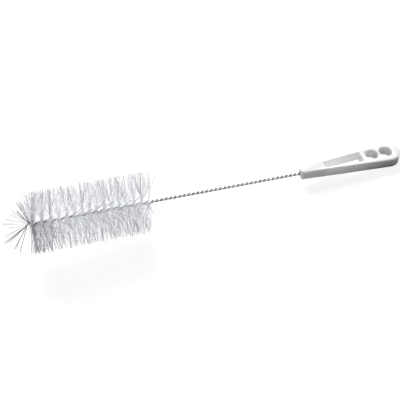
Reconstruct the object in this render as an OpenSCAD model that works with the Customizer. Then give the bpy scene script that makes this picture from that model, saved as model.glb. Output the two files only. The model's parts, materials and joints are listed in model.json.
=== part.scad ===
// Bottle brush: straight nylon bristles held between the two strands of a twisted wire,
// a fan of bristles drawn through the eye at the wire's fold, and a flat moulded handle.
// It lies on its side as it rests on a bench: on the bristles at the back of the head
// and on the lower edge of the handle's round end. The bench is z = 0.

/* [Handle] */
// Length of the handle, from its front face to its round end
handle_len = 113; // [100:1:150]
// Width of the handle at its front face
handle_front_w = 9; // [8:0.5:14]
// Width of the handle at its round end
handle_end_w = 27; // [24:0.5:36]
// Thickness of the handle
handle_t = 10; // [7:0.5:14]
// Rounding of the handle's two front corners, seen from above
corner_r = 1.2; // [0.8:0.1:2.5]
// Rounding along the edges of the handle's flat faces
edge_r = 0.5; // [0.2:0.1:0.8]
// Angle by which the handle tips up from the line of the wire
handle_pitch = 2; // [0:0.5:3]
// Diameter of the two hanging holes
hole_d = 14.2; // [8:0.2:16]
// Wall between the end hole and the handle's round end
end_wall = 8; // [4:0.5:12]
// Web between the two hanging holes
hole_web = 1.8; // [1:0.1:4]
// Web between the front hole and the finger slot
slot_web = 4; // [2:0.5:8]
// Length of the finger slot
slot_len = 44; // [20:1:50]
// Width of the rails beside the slot, at its narrow front end
rail_front_w = 3.1; // [2:0.1:3.5]
// Width of the rails beside the slot, at its wide rear end
rail_rear_w = 3.9; // [2:0.1:5]
// Rounding of the slot's corners
slot_corner_r = 0.8; // [0.4:0.1:1.5]
// Solid plastic between the end of the wire and the slot
socket_wall = 5; // [3:0.5:8]

/* [Wire] */
// Diameter of the wire
wire_d = 1.65; // [1.2:0.05:2]
// Length of bare twisted wire between the handle and the bristles
stem_len = 166; // [100:1:220]
// Length of one full turn of the twist along the bare stem
stem_pitch = 9.9; // [8:0.1:14]
// Space between the twisted wire and the plastic round it
socket_clear = 0.05; // [0.02:0.01:0.1]

/* [Head] */
// Length of the head, from its first bristle to the fold of the wire
head_len = 132; // [90:1:170]
// Diameter of the head over its bristles
head_d = 60; // [40:1:80]
// Length of one full turn of the twist inside the head
head_pitch = 15.7; // [14:0.1:20]
// Length of one full turn at the tip, where the twist is looser
tip_pitch = 19.8; // [14:0.1:24]
// Length before the tip over which the twist grows looser
loose_len = 56; // [20:1:80]
// Diameter of a bristle
bristle_d = 0.3; // [0.25:0.01:0.32]
// Space between a bristle and the wire on either side of it
bristle_clear = 0.08; // [0.05:0.01:0.12]
// Distance between bristles along the wire
bristle_step = 0.4; // [0.4:0.01:0.8]
// Rows that the bristles come in, each about half a turn of the twist
head_rows = 16; // [8:1:24]
// Largest lean of a bristle along the wire, in degrees
bristle_lean = 4; // [0:0.5:4]

/* [Tuft] */
// How much further the tuft's bristles reach from the eye than the head's do from the wire
tuft_over = 1; // [-10:1:5]
// Rows of tuft bristles along the eye
tuft_rows = 5; // [2:1:5]
// Tuft bristles side by side in each row
tuft_cols = 3; // [1:2:3]
// Distance between tuft bristles in the eye
tuft_step = 0.42; // [0.4:0.01:0.5]
// Lean of the foremost tuft bristles away from the wire's line, in degrees
tuft_lean_front = 14; // [8:1:20]
// Lean of the rearmost tuft bristles, in degrees
tuft_lean_back = 70; // [60:1:80]
// Angle between the bristles of a row, round the wire's line
tuft_spread = 52; // [30:1:60]
// Angle by which the rows are turned against each other
tuft_stagger = 13; // [0:1:15]

/* [Hidden] */
// Twist of the wire where the bristles start
rear_turn = -90;
// Lengths over which the strands open, before the first bristle and into the eye
head_ramp = 8;
eye_ramp = 2.5;
// Space between the two strands of the bare stem, and between tuft bristles and the eye
strand_clear = 0.03;
eye_clear = 0.1;
// Length over which the bristles' lean fades out towards the tip
lean_fade = 2;
lean_seed = 7;
// Facets and rings
rings_per_turn = 8;
eye_rings = 4;
fold_step = 30;
rim_step = 30;
wire_sides = 6;
bristle_sides = 4;
round_facets = 64;
socket_facets = 48;
corner_facets = 24;
slot_facets = 16;
// Shortest distance between two rings, and how far a cutter reaches past a face
least_step = 0.1;
overcut = 1;

// Distances along the wire, measured from the handle's front face towards the tip
wire_r = wire_d / 2;
stem_off = wire_r / cos(180 / rings_per_turn) + strand_clear;
head_off = wire_r + bristle_d / 2 + bristle_clear;
eye_off = wire_r + bristle_clear + bristle_d / 2 + tuft_step * (tuft_cols - 1) / 2 + eye_clear;
tip_s = stem_len + head_len;
fold_s = tip_s - wire_r - eye_off;
tuft_s = fold_s + eye_off - wire_r - bristle_d - eye_clear;
eye_s = tuft_s - tuft_step * tuft_rows;
twist_end_s = eye_s - eye_ramp;

// Bristles
bristle_count = floor((eye_s - stem_len) / bristle_step);
function first_in_row(row) = ceil(bristle_count * row / head_rows);
scatter = rands(-1, 1, bristle_count, lean_seed);
function bristle_s(i) = stem_len + (i + 0.5) * bristle_step;
function lean(i) =
    bristle_lean * scatter[i] * ramp((twist_end_s - bristle_s(i)) / lean_fade);

// Handle
end_r = handle_end_w / 2;
end_hole_x = handle_len - end_wall - hole_d / 2;
front_hole_x = end_hole_x - hole_d - hole_web;
slot_rear_x = front_hole_x - hole_d / 2 - slot_web;
slot_front_x = slot_rear_x - slot_len;
socket_depth = slot_front_x - socket_wall;
wire_depth = socket_depth - wire_r;
function half_width(x) =
    handle_front_w / 2 + (end_r - handle_front_w / 2) * x / (handle_len - end_r);

// Twist of the wire, in degrees, and distance of a strand from the wire's middle line
loose_s = tip_s - loose_len;
loosening = (tip_pitch - head_pitch) / loose_len;
function loose_turn(x) =
    loosening == 0 ? 360 * x / head_pitch : 360 / loosening * ln(1 + loosening * x / head_pitch);
function head_turn(s) =
    360 * (min(s, loose_s) - stem_len) / head_pitch + loose_turn(max(0, s - loose_s));
function turn(s) =
    rear_turn
    + (s < stem_len ? 360 * (s - stem_len) / stem_pitch : head_turn(min(s, twist_end_s)));
function ramp(x) = let(k = max(0, min(1, x))) k * k * (3 - 2 * k);
function offset_at(s) =
    stem_off
    + (head_off - stem_off) * ramp((s - stem_len + head_ramp) / head_ramp)
    + (eye_off - head_off) * ramp((s - twist_end_s) / eye_ramp);

// Across the gap between the strands, and along it, at a distance s
function across(s) = [0, cos(turn(s)), sin(turn(s))];
function along_gap(s) = [0, -sin(turn(s)), cos(turn(s))];

// Middle line of the whole wire: up one strand, round the fold and back down the other
stem_stops = [for (k = [ceil(-(wire_depth + stem_len) * rings_per_turn / stem_pitch) : -1])
    stem_len + k * stem_pitch / rings_per_turn];
head_stops = [for (s = [stem_len : head_pitch / rings_per_turn : twist_end_s - least_step]) s];
eye_stops = [for (k = [0 : eye_rings]) twist_end_s + (fold_s - twist_end_s) * k / eye_rings];
stops = concat([-wire_depth], stem_stops, head_stops, eye_stops);
function strand_point(s, side) = [-s, 0, 0] + side * offset_at(s) * across(s);
fold = [for (a = [fold_step : fold_step : 180 - fold_step])
    [-fold_s - eye_off * sin(a), 0, 0] + eye_off * cos(a) * across(fold_s)];
fold_gap = [for (p = fold) along_gap(fold_s)];
wire_path = concat(
    [for (s = stops) strand_point(s, 1)],
    fold,
    [for (i = [len(stops) - 1 : -1 : 0]) strand_point(stops[i], -1)]);
wire_sideways = concat(
    [for (s = stops) along_gap(s)],
    fold_gap,
    [for (i = [len(stops) - 1 : -1 : 0]) along_gap(stops[i])]);

// Rest: the brush tips down until a bristle of the head and the handle's end both touch.
// The handle's end touches with the rounding of its lower edge, round heel.
function pitched(x, z) = [
    x * cos(handle_pitch) - z * sin(handle_pitch),
    x * sin(handle_pitch) + z * cos(handle_pitch)];
heel = pitched(handle_len - edge_r, edge_r - handle_t / 2);
bristle_tips = [for (i = [0 : bristle_count - 1], end = [-head_d / 2, head_d / 2])
    [end * sin(lean(i)) - bristle_s(i), end * cos(lean(i)) * cos(turn(bristle_s(i)))]];
function touching_tilt(tip) =
    let(gap = heel - tip) acos(edge_r / norm(gap)) - atan2(gap[0], gap[1]);
tilt = max([for (tip = bristle_tips) touching_tilt(tip)]);
lift = heel[0] * sin(tilt) - heel[1] * cos(tilt) + edge_r;

// Length of the tuft's bristles on each side of the eye
tuft_len = head_d / 2 + tuft_over;
// Paths of the tuft's bristles. Each passes through the eye and bends forward at both sides,
// the rear ones above the front ones.
function tuft_lean(row) =
    tuft_lean_front + (tuft_lean_back - tuft_lean_front) * row / max(1, tuft_rows - 1);
function tuft_aim(row, col, side) =
    let(middle = (tuft_cols - 1) / 2,
        spread = tuft_spread * (col - middle) + tuft_stagger * (row % 3 - 1) * side,
        out = sin(tuft_lean(row)))
    [-cos(tuft_lean(row)), out * sin(spread), side * out * cos(spread)];
function tuft_path(row, col) =
    let(x = tuft_step * row - tuft_s,
        y = tuft_step * (col - (tuft_cols - 1) / 2),
        bend = wire_r + eye_clear + bristle_d * (row + 0.5),
        up = [x, y, bend],
        down = [x, y, -bend])
    [up + tuft_len * tuft_aim(row, col, 1), up, down, down + tuft_len * tuft_aim(row, col, -1)];
function turned(p, a) = [p[0], p[1] * cos(a) - p[2] * sin(a), p[1] * sin(a) + p[2] * cos(a)];
tuft_ends = [for (r = [0 : tuft_rows - 1], c = [0 : tuft_cols - 1], e = [0, 3])
    turned(tuft_path(r, c)[e], turn(tip_s))];
front_x = min([for (p = tuft_ends) p[0] * cos(tilt) + p[2] * sin(tilt)]);
back_x = (handle_len - edge_r) * cos(tilt - handle_pitch)
    + (handle_t / 2 - edge_r) * sin(tilt - handle_pitch) + edge_r;
mid_x = (front_x + back_x) / 2;

function row_name(i) = str("bristle_row_", i < 9 ? "0" : "", i + 1);

module at_rest()
    translate([-mid_x, 0, lift]) rotate([0, tilt, 0]) children();

// A ring of points round each point of a path, joined into one closed solid
module sweep(path, sideways, r, sides) {
    last = len(path) - 1;
    function step_dir(i) = let(v = path[i + 1] - path[i]) v / norm(v);
    function dir(i) =
        let(v = step_dir(min(i, last - 1)) + step_dir(max(i - 1, 0))) v / norm(v);
    rings = [for (i = [0 : last])
        let(t = dir(i),
            flat = sideways[i] - (sideways[i] * t) * t,
            n = flat / norm(flat),
            b = cross(t, n))
        for (k = [0 : sides - 1])
            path[i] + r * cos(360 * k / sides) * n + r * sin(360 * k / sides) * b];
    walls = [for (i = [0 : last - 1], k = [0 : sides - 1])
        let(a = i * sides + k, b = i * sides + (k + 1) % sides)
        each [[a, a + sides, b + sides], [a, b + sides, b]]];
    start = [for (k = [0 : sides - 1]) k];
    end = [for (k = [sides - 1 : -1 : 0]) last * sides + k];
    polyhedron(rings, concat([start], walls, [end]));
}

// Disc with rounded rims
module soft_disc(r, facets) {
    half = handle_t / 2;
    rim = [for (a = [0 : rim_step : 90])
        [r - edge_r + edge_r * cos(a), half - edge_r + edge_r * sin(a)]];
    foot = [for (p = [len(rim) - 1 : -1 : 0]) [rim[p][0], -rim[p][1]]];
    rotate_extrude($fn = facets) polygon(concat([[0, -half]], foot, rim, [[0, half]]));
}

module handle_blank()
    hull() {
        for (side = [-1, 1])
            translate([corner_r, side * (handle_front_w / 2 - corner_r), 0])
                soft_disc(corner_r, corner_facets);
        translate([handle_len - end_r, 0, 0]) soft_disc(end_r, round_facets);
    }

module finger_slot()
    linear_extrude(handle_t + 2 * overcut, center = true)
        hull()
            for (side = [-1, 1]) {
                translate([slot_front_x + slot_corner_r,
                    side * (half_width(slot_front_x) - rail_front_w - slot_corner_r)])
                    circle(slot_corner_r, $fn = slot_facets);
                translate([slot_rear_x - slot_corner_r,
                    side * (half_width(slot_rear_x) - rail_rear_w - slot_corner_r)])
                    circle(slot_corner_r, $fn = slot_facets);
            }

module hanging_hole(x)
    translate([x, 0, 0])
        cylinder(d = hole_d, h = handle_t + 2 * overcut, center = true, $fn = round_facets);

module wire_socket()
    translate([-overcut, 0, 0]) rotate([0, 90, 0])
        cylinder(r = stem_off + wire_r + socket_clear, h = socket_depth + overcut,
            $fn = socket_facets);

module handle()
    color("white") at_rest()
        difference() {
            rotate([0, -handle_pitch, 0])
                difference() {
                    handle_blank();
                    finger_slot();
                    hanging_hole(front_hole_x);
                    hanging_hole(end_hole_x);
                }
            wire_socket();
        }

module twisted_wire()
    color("silver") at_rest()
        sweep(wire_path, wire_sideways, wire_r, wire_sides);

// One straight bristle, passed through between the strands
module bristle(i)
    translate([-bristle_s(i), 0, 0]) rotate([turn(bristle_s(i)), lean(i), 0])
        cylinder(d = bristle_d, h = head_d, center = true, $fn = bristle_sides);

module bristle_row(row)
    color("whitesmoke") at_rest()
        for (i = [first_in_row(row) : first_in_row(row + 1) - 1])
            bristle(i);

// Bristles drawn through the eye of the wire and folded forwards
module tip_tuft()
    color("whitesmoke") at_rest()
        rotate([turn(tip_s), 0, 0])
            for (row = [0 : tuft_rows - 1], col = [0 : tuft_cols - 1])
                sweep(tuft_path(row, col), [for (k = [0 : 3]) [1, 0, 0]], bristle_d / 2,
                    bristle_sides);

handle();
twisted_wire();
tip_tuft();
for (i = [0 : head_rows - 1])
    bristle_row(i);
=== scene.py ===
import json
import math
import random

import bmesh
import bpy
from mathutils import Matrix, Vector


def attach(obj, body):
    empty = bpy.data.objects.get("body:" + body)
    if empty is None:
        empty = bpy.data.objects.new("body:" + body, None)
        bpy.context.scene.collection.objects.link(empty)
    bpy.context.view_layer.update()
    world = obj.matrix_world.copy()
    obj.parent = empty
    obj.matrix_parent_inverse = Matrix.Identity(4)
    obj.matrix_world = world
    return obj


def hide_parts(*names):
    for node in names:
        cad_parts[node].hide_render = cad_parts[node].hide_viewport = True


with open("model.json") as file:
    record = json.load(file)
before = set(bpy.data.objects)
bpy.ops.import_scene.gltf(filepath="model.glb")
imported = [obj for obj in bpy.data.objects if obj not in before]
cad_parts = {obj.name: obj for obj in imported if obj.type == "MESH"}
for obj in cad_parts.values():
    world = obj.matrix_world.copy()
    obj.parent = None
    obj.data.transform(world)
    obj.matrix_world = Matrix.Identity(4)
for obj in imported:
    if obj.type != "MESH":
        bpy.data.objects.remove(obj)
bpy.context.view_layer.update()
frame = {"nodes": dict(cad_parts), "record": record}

MM = 0.001

# ---------------------------------------------------------------- sizes

# In millimetres, with angles in degrees, nearly all as the construction has them.
# Names with _X are places along the handle from its front face, and _S along the wire.
HANDLE_LEN = 113
HANDLE_FRONT_W = 9
HANDLE_END_W = 27
HANDLE_T = 10
HANDLE_PITCH = 2
CORNER_R = 1.2
EDGE_R = 0.5
HOLE_D = 14.2
END_WALL = 8
HOLE_WEB = 1.8
SLOT_WEB = 4
SLOT_LEN = 44
RAIL_FRONT_W = 3.1
RAIL_REAR_W = 3.9
SLOT_CORNER_R = 0.8
SOCKET_CLEAR = 0.05

# The twisted pair. The twist is even in the stem and grows looser before the tip. The
# strands open a little to hold the bristles, and more for the eye behind the fold.
WIRE_R = 0.825
WIRE_DEPTH = 20.975
STEM_LEN = 166
STEM_PITCH = 9.9
HEAD_LEN = 132
HEAD_PITCH = 15.7
TIP_PITCH = 19.8
LOOSE_LEN = 56
REAR_TURN = -90
STEM_OFFSET = 0.85
HEAD_OFFSET = 1.055
EYE_OFFSET = 1.575
EYE_RAMP = 2.5
EYE_LEN = 1.75

# Half a filament, from the wire to its tip, and the rows that they come in
BRISTLE_R = 0.15
BRISTLE_LEN = 30.2
ROW_LEN = 8

END_R = HANDLE_END_W / 2
END_HOLE_X = HANDLE_LEN - END_WALL - HOLE_D / 2
FRONT_HOLE_X = END_HOLE_X - HOLE_D - HOLE_WEB
SLOT_REAR_X = FRONT_HOLE_X - HOLE_D / 2 - SLOT_WEB
SLOT_FRONT_X = SLOT_REAR_X - SLOT_LEN
TIP_S = STEM_LEN + HEAD_LEN
FOLD_S = TIP_S - WIRE_R - EYE_OFFSET
EYE_S = FOLD_S - EYE_LEN
TWIST_END_S = EYE_S - EYE_RAMP
LOOSE_S = TIP_S - LOOSE_LEN
LOOSENING = (TIP_PITCH - HEAD_PITCH) / LOOSE_LEN

# The brush's own frame: origin where the wire enters the handle, +X towards the round end.
# The hanging holes say where the handle lies, and the wire leaves it HANDLE_PITCH lower.
HOLES = {m["name"]: m for m in frame["record"]["mounts"]}
HOLE_AXIS = Vector(HOLES["front_hanging_hole"]["axis"]).normalized()
HANDLE_TILT = math.atan2(HOLE_AXIS.x, HOLE_AXIS.z)
HANDLE_DIR = Vector((math.cos(HANDLE_TILT), 0, -math.sin(HANDLE_TILT)))
ENTRY = Vector(HOLES["front_hanging_hole"]["pos_m"]) - HANDLE_DIR * FRONT_HOLE_X * MM
SCALE = Matrix.Scale(MM, 4)
HANDLE_FRAME = Matrix.Translation(ENTRY) @ Matrix.Rotation(HANDLE_TILT, 4, "Y") @ SCALE
WIRE_FRAME = (
    Matrix.Translation(ENTRY)
    @ Matrix.Rotation(HANDLE_TILT + math.radians(HANDLE_PITCH), 4, "Y")
    @ SCALE
)


# ---------------------------------------------------------------- materials

# A pair of colours is the two ends of a faint cloudiness, or of the filaments' tones,
# and runs from one to the other over the middle part of its factor
COLOR_FROM, COLOR_TO = 0.3, 0.7
PLASTIC_LOW = (0.93, 0.926, 0.95)
PLASTIC_HIGH = (0.965, 0.962, 0.982)
GLOW_DEPTH = 0.003  # metres
STEEL_DULL = (0.7, 0.7, 0.71)
STEEL_BRIGHT = (0.86, 0.86, 0.87)
# Painted shade on the wire, between its strands and on its underside
STEEL_PAINTED_SHADE = (0.24, 0.24, 0.24)
STEEL_SMOOTH, STEEL_ROUGH = 0.2, 0.4
NYLON_DARK = (0.48, 0.487, 0.525)
NYLON_LIGHT = (0.965, 0.97, 0.987)
NYLON_THROUGH = 0.5
NYLON_CLOUDS = 0.2


def new_material(name, color, roughness):
    """A Principled material with its even values on the shader's own sockets."""
    material = bpy.data.materials.new(name)
    material.use_nodes = True
    nodes = material.node_tree.nodes
    shader = nodes["Principled BSDF"]
    shader.inputs["Base Color"].default_value = (*color, 1)
    shader.inputs["Roughness"].default_value = roughness
    return material, nodes, material.node_tree.links, shader


def noise(nodes, links, scale, detail):
    """Noise over Object coordinates, with scale in waves a metre."""
    where = nodes.new("ShaderNodeTexCoord")
    texture = nodes.new("ShaderNodeTexNoise")
    texture.inputs["Scale"].default_value = scale
    texture.inputs["Detail"].default_value = detail
    links.new(where.outputs["Object"], texture.inputs["Vector"])
    return texture


def color_between(nodes, links, factor, low, high):
    """A colour that runs from low to high with a factor."""
    ramp = nodes.new("ShaderNodeValToRGB")
    ramp.color_ramp.elements[0].position = COLOR_FROM
    ramp.color_ramp.elements[1].position = COLOR_TO
    ramp.color_ramp.elements[0].color = (*low, 1)
    ramp.color_ramp.elements[1].color = (*high, 1)
    links.new(factor, ramp.inputs["Fac"])
    return ramp.outputs["Color"]


def add_bump(nodes, links, shader, height, distance, strength):
    """A fine relief, with distance in metres."""
    bump = nodes.new("ShaderNodeBump")
    bump.inputs["Distance"].default_value = distance
    bump.inputs["Strength"].default_value = strength
    links.new(height, bump.inputs["Height"])
    links.new(bump.outputs["Normal"], shader.inputs["Normal"])


def moulded_white():
    """Satin white plastic, faintly cloudy, that glows through where it is thin."""
    material, nodes, links, shader = new_material(
        "moulded_white", color=(0.9, 0.9, 0.9), roughness=0.38
    )
    shader.inputs["Subsurface Weight"].default_value = 1
    shader.inputs["Subsurface Radius"].default_value = (1, 1, 1)
    shader.inputs["Subsurface Scale"].default_value = GLOW_DEPTH
    clouds = noise(nodes, links, scale=60, detail=3)
    color = color_between(nodes, links, clouds.outputs["Fac"], PLASTIC_LOW, PLASTIC_HIGH)
    links.new(color, shader.inputs["Base Color"])
    skin = noise(nodes, links, scale=2600, detail=2)
    add_bump(nodes, links, shader, skin.outputs["Fac"], distance=0.00002, strength=0.35)
    return material


def drawn_steel():
    """Galvanised wire with painted shade where the strands touch and on its underside, and
    fine drawing marks.
    """
    material, nodes, links, shader = new_material(
        "drawn_steel", color=(0.3, 0.3, 0.31), roughness=0.3
    )
    shader.inputs["Metallic"].default_value = 0.4
    patches = noise(nodes, links, scale=700, detail=4)
    zinc = color_between(nodes, links, patches.outputs["Fac"], STEEL_DULL, STEEL_BRIGHT)
    # Painted shade between the strands and on the wire's underside, read from a painted
    # attribute
    painted_shade = nodes.new("ShaderNodeAttribute")
    painted_shade.attribute_name = "painted_shade"
    mix = nodes.new("ShaderNodeMix")
    mix.data_type = "RGBA"
    mix.inputs["B"].default_value = (*STEEL_PAINTED_SHADE, 1)
    links.new(painted_shade.outputs["Fac"], mix.inputs["Factor"])
    links.new(zinc, mix.inputs["A"])
    links.new(mix.outputs["Result"], shader.inputs["Base Color"])
    rough = nodes.new("ShaderNodeMapRange")
    rough.inputs["To Min"].default_value = STEEL_SMOOTH
    rough.inputs["To Max"].default_value = STEEL_ROUGH
    links.new(patches.outputs["Fac"], rough.inputs["Value"])
    links.new(rough.outputs["Result"], shader.inputs["Roughness"])
    marks = noise(nodes, links, scale=4000, detail=2)
    add_bump(nodes, links, shader, marks.outputs["Fac"], distance=0.00002, strength=0.2)
    return material


def clear_nylon():
    """White nylon filament that lets light through, some filaments greyer than others, with
    painted light at their roots and painted shade towards their tips.
    """
    material, nodes, links, shader = new_material(
        "clear_nylon", color=(0.9, 0.9, 0.9), roughness=0.35
    )
    tone = nodes.new("ShaderNodeAttribute")
    tone.attribute_name = "tone"
    clouds = noise(nodes, links, scale=300, detail=2)
    shade = nodes.new("ShaderNodeMath")
    shade.operation = "MULTIPLY_ADD"
    shade.inputs[1].default_value = NYLON_CLOUDS
    links.new(clouds.outputs["Fac"], shade.inputs[0])
    links.new(tone.outputs["Fac"], shade.inputs[2])
    color = color_between(nodes, links, shade.outputs[0], NYLON_DARK, NYLON_LIGHT)
    links.new(color, shader.inputs["Base Color"])
    through = nodes.new("ShaderNodeBsdfTranslucent")
    links.new(color, through.inputs["Color"])
    mix = nodes.new("ShaderNodeMixShader")
    mix.inputs["Fac"].default_value = NYLON_THROUGH
    links.new(shader.outputs[0], mix.inputs[1])
    links.new(through.outputs[0], mix.inputs[2])
    links.new(mix.outputs[0], nodes["Material Output"].inputs["Surface"])
    return material


# ---------------------------------------------------------------- modelling helpers

def select_only(obj):
    bpy.ops.object.select_all(action="DESELECT")
    obj.select_set(True)
    bpy.context.view_layer.objects.active = obj


def apply_modifier(obj, modifier):
    select_only(obj)
    bpy.ops.object.modifier_apply(modifier=modifier.name)


def outward(obj):
    """Merges doubles and points all faces outwards."""
    select_only(obj)
    bpy.ops.object.mode_set(mode="EDIT")
    bpy.ops.mesh.select_all(action="SELECT")
    bpy.ops.mesh.remove_doubles(threshold=1e-5)
    bpy.ops.mesh.normals_make_consistent(inside=False)
    bpy.ops.object.mode_set(mode="OBJECT")


def place(obj, matrix, smooth_angle):
    """Puts a piece modelled in millimetres at its place, with its object at the origin."""
    obj.data.transform(matrix)
    obj.data.update()
    select_only(obj)
    bpy.ops.object.shade_smooth_by_angle(angle=math.radians(smooth_angle))


def finish_piece(obj, name, material, nodes):
    """Names a piece, gives it its one material, attaches it to the root body and hides the
    nodes it stands for.
    """
    obj.name = name
    obj.data.name = name
    obj.data.materials.clear()
    obj.data.materials.append(material)
    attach(obj, "root")
    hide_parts(*nodes)


# ---------------------------------------------------------------- handle

ROUND_SIDES = 96  # of the round end and each hole
BORE_LEN = 12  # half of it inside the handle, as deep as can be seen


def half_width(x):
    """Half of the handle's width at a distance x from its front face."""
    return HANDLE_FRONT_W / 2 + (END_R - HANDLE_FRONT_W / 2) * x / (HANDLE_LEN - END_R)


def select_upright(obj, x_low, x_high):
    """Selects the upright edges between two distances along the handle."""
    bpy.ops.mesh.select_all(action="DESELECT")
    mesh = bmesh.from_edit_mesh(obj.data)
    for e in mesh.edges:
        a, b = (v.co for v in e.verts)
        if abs(a.z - b.z) > HANDLE_T / 2 and x_low <= a.x <= x_high:
            e.select_set(True)
    mesh.select_flush(True)
    bmesh.update_edit_mesh(obj.data)


def model_blank():
    """The round end, cut where the straight sides start and drawn out to the front face."""
    front = HANDLE_FRONT_W / 2 - CORNER_R
    run = HANDLE_LEN - END_R - CORNER_R
    taper = math.asin((END_R - CORNER_R) / math.hypot(run, front)) - math.atan2(front, run)
    side_x = HANDLE_LEN - END_R - END_R * math.sin(taper)
    side_y = END_R * math.cos(taper)
    front_y = side_y - side_x * math.tan(taper)
    bpy.ops.mesh.primitive_circle_add(
        vertices=ROUND_SIDES, radius=END_R, fill_type="NGON",
        location=(HANDLE_LEN - END_R, 0, -HANDLE_T / 2),
    )
    blank = bpy.context.object
    bpy.ops.object.transform_apply(location=True, rotation=False, scale=False)
    bpy.ops.object.mode_set(mode="EDIT")
    bpy.ops.mesh.select_all(action="SELECT")
    bpy.ops.mesh.bisect(plane_co=(side_x, 0, 0), plane_no=(-1, 0, 0), clear_outer=True)
    bpy.ops.mesh.extrude_edges_move(TRANSFORM_OT_translate={"value": (-side_x, 0, 0)})
    bpy.ops.transform.resize(value=(1, front_y / side_y, 1), center_override=(0, 0, 0))
    bpy.ops.mesh.select_all(action="SELECT")
    bpy.ops.mesh.extrude_region_move(TRANSFORM_OT_translate={"value": (0, 0, HANDLE_T)})
    bpy.ops.mesh.select_all(action="SELECT")
    bpy.ops.mesh.normals_make_consistent(inside=False)
    select_upright(blank, -1, 1)
    bpy.ops.mesh.bevel(offset=CORNER_R, segments=6, affect="EDGES", offset_type="OFFSET")
    bpy.ops.object.mode_set(mode="OBJECT")
    return blank


def model_slot():
    """A tall wedge with small round corners, for cutting the finger slot."""
    bpy.ops.mesh.primitive_cube_add(size=1, location=(0, 0, 0))
    slot = bpy.context.object
    front = half_width(SLOT_FRONT_X) - RAIL_FRONT_W
    rear = half_width(SLOT_REAR_X) - RAIL_REAR_W
    for v in slot.data.vertices:
        at_front = v.co.x < 0
        half = front if at_front else rear
        v.co.x = SLOT_FRONT_X if at_front else SLOT_REAR_X
        v.co.y = half if v.co.y > 0 else -half
        v.co.z *= HANDLE_T * 2
    bpy.ops.object.mode_set(mode="EDIT")
    select_upright(slot, SLOT_FRONT_X - 1, SLOT_REAR_X + 1)
    bpy.ops.mesh.bevel(
        offset=SLOT_CORNER_R, segments=5, affect="EDGES", offset_type="OFFSET"
    )
    bpy.ops.object.mode_set(mode="OBJECT")
    return slot


def cut(obj, cutter):
    """Takes the cutter's shape out of an object, and the cutter out of the scene."""
    modifier = obj.modifiers.new("cut", "BOOLEAN")
    modifier.operation = "DIFFERENCE"
    modifier.solver = "EXACT"
    modifier.object = cutter
    apply_modifier(obj, modifier)
    bpy.data.objects.remove(cutter)


def make_handle(material):
    """The blank with its holes, slot and socket cut and its rims rounded."""
    handle = model_blank()
    for x in (FRONT_HOLE_X, END_HOLE_X):
        bpy.ops.mesh.primitive_cylinder_add(
            vertices=ROUND_SIDES, radius=HOLE_D / 2, depth=HANDLE_T * 2, location=(x, 0, 0)
        )
        cut(handle, bpy.context.object)
    cut(handle, model_slot())
    outward(handle)
    rims = handle.modifiers.new("rims", "BEVEL")
    rims.width = EDGE_R
    rims.segments = 3
    rims.limit_method = "ANGLE"
    rims.angle_limit = math.radians(60)
    apply_modifier(handle, rims)
    bpy.ops.mesh.primitive_cylinder_add(
        vertices=48, radius=STEM_OFFSET + WIRE_R + SOCKET_CLEAR, depth=BORE_LEN,
        location=(0, 0, 0), rotation=(0, math.radians(90 + HANDLE_PITCH), 0),
    )
    cut(handle, bpy.context.object)
    place(handle, HANDLE_FRAME, smooth_angle=35)
    finish_piece(handle, "moulded_handle", material, ["handle"])


# ---------------------------------------------------------------- wire

# Points of the wire's path: on each turn of the twist, and degrees between them at the fold
STOPS_A_TURN = 24
FOLD_STEP = 15

# Painted shade on the steel: between the strands, out to GROOVE_REACH from the middle of
# the wire, or GROOVE_TILT more where it looks up; and on its underside, as far up as faces
# whose normals rise by BELOW_FROM. HEAD_PALER is the share of that painted shade taken off
# among the bristles.
GROOVE_REACH = 1.5
GROOVE_TILT = 0.08
GROOVE_SOFT = 0.6
BELOW_FROM = 0.57
BELOW_SOFT = 0.8
BELOW_SHARE = 0.95
HEAD_PALER = 0.5


def turn(s):
    """How far the strands have wound at a distance s from the handle; looser at the tip."""
    if s < STEM_LEN:
        return math.radians(REAR_TURN) + math.tau * (s - STEM_LEN) / STEM_PITCH
    even = min(s, LOOSE_S) - STEM_LEN
    loose = max(0, min(s, TWIST_END_S) - LOOSE_S)
    wound = even / HEAD_PITCH + math.log(1 + LOOSENING * loose / HEAD_PITCH) / LOOSENING
    return math.radians(REAR_TURN) + math.tau * wound


def ramp(x):
    """Runs smoothly from 0 to 1 while x does."""
    k = max(0, min(1, x))
    return k * k * (3 - 2 * k)


def strand_offset(s):
    """Distance from the middle of the wire to the middle of a strand."""
    return (
        STEM_OFFSET
        + (HEAD_OFFSET - STEM_OFFSET) * ramp((s - STEM_LEN + ROW_LEN) / ROW_LEN)
        + (EYE_OFFSET - HEAD_OFFSET) * ramp((s - TWIST_END_S) / EYE_RAMP)
    )


def across(s):
    """From one strand to the other, at a distance s from the handle."""
    return Vector((0, math.cos(turn(s)), math.sin(turn(s))))


def along_gap(s):
    """Along the gap between the strands, where the bristles stick out."""
    return Vector((0, -math.sin(turn(s)), math.cos(turn(s))))


def paint_wire_shade(wire):
    """Paints shade into each point, from 0 to 1: painted shade in the grooves between the
    strands and on the underside, less in the head.
    """
    painted_shade = wire.data.attributes.new("painted_shade", "FLOAT", "POINT")
    for v, value in zip(wire.data.vertices, painted_shade.data):
        out = math.hypot(v.co.y, v.co.z)
        between = ramp((GROOVE_REACH + GROOVE_TILT * v.normal.z - out) / GROOVE_SOFT)
        below = ramp((BELOW_FROM - v.normal.z) / BELOW_SOFT)
        in_head = ramp((-v.co.x - STEM_LEN) / ROW_LEN)
        value.value = max(between, BELOW_SHARE * below) * (1 - HEAD_PALER * in_head)


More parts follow.
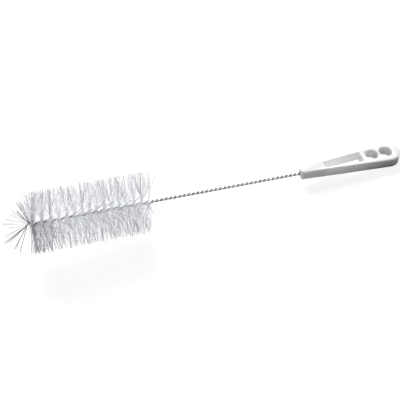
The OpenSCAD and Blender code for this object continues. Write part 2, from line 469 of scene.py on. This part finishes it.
def make_wire(material):
    """A round wire swept up one strand, round the fold and down the other."""
    stops = []
    s = -WIRE_DEPTH
    while s < FOLD_S:
        stops.append(s)
        s += (STEM_PITCH if s < STEM_LEN else HEAD_PITCH) / STOPS_A_TURN
    stops.append(FOLD_S)
    up = [Vector((-s, 0, 0)) + strand_offset(s) * across(s) for s in stops]
    down = [Vector((-s, 0, 0)) - strand_offset(s) * across(s) for s in reversed(stops)]
    fold = []
    for degrees in range(FOLD_STEP, 180, FOLD_STEP):
        a = math.radians(degrees)
        out = Vector((-FOLD_S - EYE_OFFSET * math.sin(a), 0, 0))
        fold.append(out + EYE_OFFSET * math.cos(a) * across(FOLD_S))
    path = up + fold + down
    curve = bpy.data.curves.new("twisted_pair", "CURVE")
    curve.dimensions = "3D"
    curve.bevel_depth = WIRE_R
    curve.bevel_resolution = 3
    curve.use_fill_caps = True
    spline = curve.splines.new("POLY")
    spline.points.add(len(path) - 1)
    for point, co in zip(spline.points, path):
        point.co = (*co, 1)
    wire = bpy.data.objects.new("twisted_pair", curve)
    bpy.context.collection.objects.link(wire)
    select_only(wire)
    bpy.ops.object.convert(target="MESH")
    wire = bpy.context.object
    outward(wire)
    paint_wire_shade(wire)
    place(wire, WIRE_FRAME, smooth_angle=60)
    finish_piece(wire, "twisted_pair", material, ["twisted_wire"])


# ---------------------------------------------------------------- bristles

# How a single filament is made: the steps along it, how far each wanders to the side, and
# how strongly each of the masters that are copied bends
BRISTLE_SEGMENTS = 6
BRISTLE_WANDER = 0.1
BRISTLE_SWAYS = (0.0, 0.1, 0.2, 0.3, 0.4, 0.5, 0.6, 0.8)

# What all filaments share: how far their tips stray, the shortest one's share of the full
# length, how tones vary from filament to filament, and the painted light at the root and
# painted shade at the tip
TIP_STRAY = 0.25
SHORTEST = 0.97
TONE_VARY = 0.2
# Painted light at the filaments' roots and painted shade at their tips
ROOT_PAINTED_LIGHT, TIP_PAINTED_SHADE = 0.22, 0.15


def model_bristle(length, sway, rng):
    """Half a filament along +Z, extruded step by step from its cut end, gently wavy."""
    bpy.ops.mesh.primitive_circle_add(
        vertices=4, radius=BRISTLE_R, fill_type="NGON", location=(0, 0, 0)
    )
    stalk = bpy.context.object
    bpy.ops.object.mode_set(mode="EDIT")
    bpy.ops.mesh.select_all(action="SELECT")
    lean = rng.uniform(0, math.tau)
    for k in range(BRISTLE_SEGMENTS):
        push = sway * (k + 0.5) / BRISTLE_SEGMENTS
        step = (
            push * math.cos(lean) + rng.uniform(-BRISTLE_WANDER, BRISTLE_WANDER),
            push * math.sin(lean) + rng.uniform(-BRISTLE_WANDER, BRISTLE_WANDER),
            length / BRISTLE_SEGMENTS,
        )
        bpy.ops.mesh.extrude_region_move(TRANSFORM_OT_translate={"value": step})
    bpy.ops.mesh.select_all(action="SELECT")
    bpy.ops.mesh.normals_make_consistent(inside=False)
    bpy.ops.object.mode_set(mode="OBJECT")
    mesh = stalk.data
    bpy.data.objects.remove(stalk)
    return mesh


def bundle(name, filaments):
    """Copies of filament meshes, each with its place and tone, with painted light at its
    root and painted shade towards its tip.
    """
    gathered = bmesh.new()
    tones = []
    for source, matrix, tone in filaments:
        first = len(gathered.verts)
        gathered.from_mesh(source)
        gathered.verts.ensure_lookup_table()
        for v in gathered.verts[first:]:
            # Painted light at the root, fading to painted shade at the tip
            tones.append(tone + ROOT_PAINTED_LIGHT - (ROOT_PAINTED_LIGHT + TIP_PAINTED_SHADE) * v.co.z / BRISTLE_LEN)
            v.co = matrix @ v.co
    mesh = bpy.data.meshes.new(name)
    gathered.to_mesh(mesh)
    gathered.free()
    mesh.attributes.new("tone", "FLOAT", "POINT").data.foreach_set("value", tones)
    obj = bpy.data.objects.new(name, mesh)
    bpy.context.collection.objects.link(obj)
    return obj


def clump(root, direction, length, count, stray, tone, masters, rng):
    """Filaments that start side by side along the wire and lean together at their tips."""
    filaments = []
    for _ in range(count):
        start = root + Vector((rng.gauss(0, stray), 0, 0))
        tip = root + direction * length * rng.uniform(SHORTEST, 1)
        tip += Vector([rng.gauss(0, TIP_STRAY) for _ in range(3)])
        reach = tip - start
        turned = reach.to_track_quat("Z", "Y").to_matrix().to_4x4()
        spin = Matrix.Rotation(rng.uniform(0, math.tau), 4, "Z")
        size = Matrix.Scale(reach.length / BRISTLE_LEN, 4, (0, 0, 1))
        matrix = Matrix.Translation(start) @ turned @ spin @ size
        source = rng.choice(masters)
        shade = tone + rng.uniform(-TONE_VARY, TONE_VARY)
        filaments.append((source, matrix, shade))
    return filaments


# How the filaments of the head stand. A pair is for those that point down and up.
HEAD_SEED = 9
PLACES_A_ROW = 48
A_PLACE = (1, 1)  # fewest and most filaments at one place
ROOT_STRAY = 0.3
FILAMENT_LEN = (30.4, 31.7)
TURN_SPREAD = 5
LEAN_SPREAD = (8, 8.5)
LEAN_MOST = 25
TONE_LOW, TONE_HIGH = 0.29, 0.96

# Towards the tip they lean back to the handle, stand closer and look greyer
TIP_LEAN = (5, 16)
TIP_LEAN_LEN = 14
TIP_DENSER = 0.25
TIP_GREYER = (0.35, 0.08)
TIP_GREY_LEN = 24

# At the handle's end of the head only a share is left, and the last ones lean
DENSE_FROM = 173.5
REAR_SHARE = (0.8, 0.15)
REAR_LEAN = (-14, 9)
REAR_LEN = 8
REAR_LIGHTER = (0.15, -0.35)


def make_head(material, masters):
    """A piece for each row of the construction, with filaments in the gap of the twist."""
    rng = random.Random(HEAD_SEED)
    rows = sorted(n for n in frame["nodes"] if n.startswith("bristle_row_"))
    for row, node in enumerate(rows):
        start = STEM_LEN + row * ROW_LEN
        length = min(ROW_LEN, EYE_S - start)
        near_tip = ramp((start + length - EYE_S + TIP_GREY_LEN) / TIP_GREY_LEN)
        count = round(PLACES_A_ROW * length / ROW_LEN * (1 + TIP_DENSER * near_tip))
        filaments = []
        for k in range(count):
            s = start + length * (k + rng.uniform(0, 1)) / count
            at_tip = ramp((s - EYE_S + TIP_LEAN_LEN) / TIP_LEAN_LEN)
            at_rear = ramp((DENSE_FROM + REAR_LEN - s) / REAR_LEN)
            for side in (1, -1):
                roll = math.radians(rng.gauss(0, TURN_SPREAD))
                out = side * (along_gap(s) * math.cos(roll) - across(s) * math.sin(roll))
                above = out.z > 0
                if s < DENSE_FROM and rng.random() > REAR_SHARE[above]:
                    continue
                lean = max(-LEAN_MOST, min(LEAN_MOST, rng.gauss(0, LEAN_SPREAD[above])))
                lean = lean + TIP_LEAN[above] * at_tip + REAR_LEAN[above] * at_rear
                lean = math.radians(lean)
                direction = out * math.cos(lean) + Vector((math.sin(lean), 0, 0))
                tone = rng.uniform(TONE_LOW, TONE_HIGH)
                tone += REAR_LIGHTER[above] * at_rear - TIP_GREYER[above] * near_tip
                filaments += clump(
                    Vector((-s, 0, 0)), direction, FILAMENT_LEN[above],
                    rng.randint(*A_PLACE), ROOT_STRAY, tone, masters, rng,
                )
        head = bundle(node + "_filaments", filaments)
        place(head, WIRE_FRAME, smooth_angle=50)
        finish_piece(head, node + "_filaments", material, [node])


# The fan's clumps: lean from the wire's line and turn about it, number of filaments, tone
FAN = (
    (88, 66, 3, 0.4),
    (94, 58, 2, 0.5),
    (77, 84, 3, 0.5),
    (68, 80, 5, 0.0),
    (63, 90, 3, 0.2),
    (83, 14, 4, 0.1),
    (51, 100, 5, -0.1),
    (46, 88, 3, 0.2),
    (78, -13, 3, 0.2),
    (25, 87, 4, 0.6),
    (12, 73, 5, 0.55),
    (26, 135, 3, 0.5),
    (53, -63, 4, 0.3),
    (28, -122, 4, 0.0),
    (61, -78, 4, 0.0),
    (48, -149, 5, -0.1),
    (59, -154, 4, 0.0),
    (72, 175, 2, 0.5),
    (66, 150, 2, 0.5),
)

# The fan's filaments: their length, how far their roots stray along the wire, and where
# the roots lie: back from the fold or ahead of it, and out from the middle of the wire
FAN_SEED = 5
FAN_LEN = 29
FAN_STRAY = 0.5
FAN_BACK = 1.2
FAN_AHEAD = 1.5
FAN_OUT = 0.9


def make_tuft(material, masters):
    """Clumps through the eye: upper ones rise from its back, lower ones from its end."""
    rng = random.Random(FAN_SEED)
    filaments = []
    for lean, around, count, tone in FAN:
        b, a = math.radians(lean), math.radians(around)
        direction = Vector(
            (-math.cos(b), math.sin(b) * math.cos(a), math.sin(b) * math.sin(a))
        )
        ahead = -FAN_BACK if around > 0 else FAN_AHEAD
        out = Vector((0, direction.y, direction.z)) * FAN_OUT
        root = Vector((-FOLD_S - ahead, 0, 0)) + out
        filaments += clump(root, direction, FAN_LEN, count, FAN_STRAY, tone, masters, rng)
    tuft = bundle("tip_fan", filaments)
    place(tuft, WIRE_FRAME, smooth_angle=50)
    finish_piece(tuft, "tip_fan", material, ["tip_tuft"])


# ---------------------------------------------------------------- stage

# In metres. The floor is seen nearly white, with a faint shadow. Its paper throws less
# light back under the round end of the handle, as painted shade on the handle's side there,
# and fades to that between two places on X.
FLOOR_SIZE = 12
FLOOR_DROP = 0.0002
FLOOR_SHADED = (0.2, 0.2, 0.2)
FLOOR_GLOW = 0.88
# The grey is painted shade, seen only in the light the floor throws back onto the handle
PAPER_WHITE, PAPER_PAINTED_SHADE = 0.78, 0.22
PAPER_FADE = (0.14, 0.2)
WORLD_FILL = 0.08


def seen_ray(nodes, links):
    """1 for rays from the camera, from a reflection or through clear material, else 0."""
    rays = nodes.new("ShaderNodeLightPath")
    seen = rays.outputs["Is Camera Ray"]
    for kind in ("Is Glossy Ray", "Is Transmission Ray"):
        either = nodes.new("ShaderNodeMath")
        either.operation = "MAXIMUM"
        links.new(seen, either.inputs[0])
        links.new(rays.outputs[kind], either.inputs[1])
        seen = either.outputs[0]
    return seen


def make_floor():
    """A white floor that keeps a soft shadow under the brush, and throws back less light
    under the handle's round end as painted shade.
    """
    bpy.ops.mesh.primitive_plane_add(size=FLOOR_SIZE, location=(0, 0, -FLOOR_DROP))
    floor = bpy.context.object
    floor.name = "floor"
    material = bpy.data.materials.new("white_floor")
    material.use_nodes = True
    nodes, links = material.node_tree.nodes, material.node_tree.links
    nodes.clear()
    out = nodes.new("ShaderNodeOutputMaterial")
    paper = nodes.new("ShaderNodeBsdfDiffuse")
    where = nodes.new("ShaderNodeTexCoord")
    split = nodes.new("ShaderNodeSeparateXYZ")
    # Painted shade: towards the round end the paper turns grey, for bounced light only
    fade = nodes.new("ShaderNodeMapRange")
    fade.inputs["From Min"].default_value = PAPER_FADE[0]
    fade.inputs["From Max"].default_value = PAPER_FADE[1]
    fade.inputs["To Min"].default_value = PAPER_WHITE
    fade.inputs["To Max"].default_value = PAPER_PAINTED_SHADE
    links.new(where.outputs["Object"], split.inputs["Vector"])
    links.new(split.outputs["X"], fade.inputs["Value"])
    links.new(fade.outputs["Result"], paper.inputs["Color"])
    shaded = nodes.new("ShaderNodeBsdfDiffuse")
    shaded.inputs["Color"].default_value = (*FLOOR_SHADED, 1)
    glow = nodes.new("ShaderNodeEmission")
    glow.inputs["Strength"].default_value = FLOOR_GLOW
    white = nodes.new("ShaderNodeAddShader")
    links.new(shaded.outputs[0], white.inputs[0])
    links.new(glow.outputs[0], white.inputs[1])
    mix = nodes.new("ShaderNodeMixShader")
    links.new(seen_ray(nodes, links), mix.inputs["Fac"])
    links.new(paper.outputs[0], mix.inputs[1])
    links.new(white.outputs[0], mix.inputs[2])
    links.new(mix.outputs[0], out.inputs["Surface"])
    floor.data.materials.append(material)


def make_world():
    """A weak even fill, and a white background where nothing stands in front of it."""
    world = bpy.data.worlds.new("studio")
    bpy.context.scene.world = world
    world.use_nodes = True
    nodes, links = world.node_tree.nodes, world.node_tree.links
    nodes.clear()
    out = nodes.new("ShaderNodeOutputWorld")
    fill = nodes.new("ShaderNodeBackground")
    fill.inputs["Color"].default_value = (1, 1, 1, 1)
    fill.inputs["Strength"].default_value = WORLD_FILL
    white = nodes.new("ShaderNodeBackground")
    white.inputs["Color"].default_value = (1, 1, 1, 1)
    white.inputs["Strength"].default_value = 1
    mix = nodes.new("ShaderNodeMixShader")
    links.new(seen_ray(nodes, links), mix.inputs["Fac"])
    links.new(fill.outputs[0], mix.inputs[1])
    links.new(white.outputs[0], mix.inputs[2])
    links.new(mix.outputs[0], out.inputs["Surface"])


def soft_light(name, place_at, size, watts):
    """A square soft light that faces the middle of the floor."""
    lamp = bpy.data.lights.new(name, "AREA")
    lamp.shape = "SQUARE"
    lamp.size = size
    lamp.energy = watts
    obj = bpy.data.objects.new(name, lamp)
    bpy.context.collection.objects.link(obj)
    obj.location = place_at
    obj.rotation_euler = (-Vector(place_at)).to_track_quat("-Z", "Y").to_euler()


# The camera's aim, direction and lens
AIM = ENTRY + Vector((-113.03, -3.08, 4.03)) * MM
AZIMUTH, ELEVATION, ROLL = 26.66, 42.64, 3.62
DISTANCE = 2297 * MM
LENS = 207.8
SENSOR = 36
CLIP = (0.05, 50)


def make_camera():
    """A long lens that looks down on the brush from its handle's side, slightly rolled."""
    data = bpy.data.cameras.new("camera")
    data.lens = LENS
    data.sensor_width = SENSOR
    data.clip_start, data.clip_end = CLIP
    camera = bpy.data.objects.new("camera", data)
    bpy.context.collection.objects.link(camera)
    a, e, r = (math.radians(d) for d in (AZIMUTH, ELEVATION, ROLL))
    look = Vector((math.sin(a) * math.cos(e), math.cos(a) * math.cos(e), -math.sin(e)))
    level = look.cross(Vector((0, 0, 1))).normalized()
    upright = level.cross(look)
    right = level * math.cos(r) + upright * math.sin(r)
    up = upright * math.cos(r) - level * math.sin(r)
    turned = Matrix((right, up, -look)).transposed().to_4x4()
    camera.matrix_world = Matrix.Translation(AIM - look * DISTANCE) @ turned
    bpy.context.scene.camera = camera


# ---------------------------------------------------------------- scene

make_camera()
bpy.context.scene.view_settings.view_transform = "Standard"
nylon = clear_nylon()
half_filaments = [
    model_bristle(BRISTLE_LEN, sway, random.Random(n))
    for n, sway in enumerate(BRISTLE_SWAYS)
]
make_handle(moulded_white())
make_wire(drawn_steel())
make_head(nylon, half_filaments)
make_tuft(nylon, half_filaments)
for mesh in half_filaments:
    bpy.data.meshes.remove(mesh)
make_floor()
make_world()
soft_light("key", place_at=(0.1, 2.0, 1.6), size=1.4, watts=106)
soft_light("fill_left", place_at=(-2.2, -0.6, 1.0), size=1.2, watts=1.6)
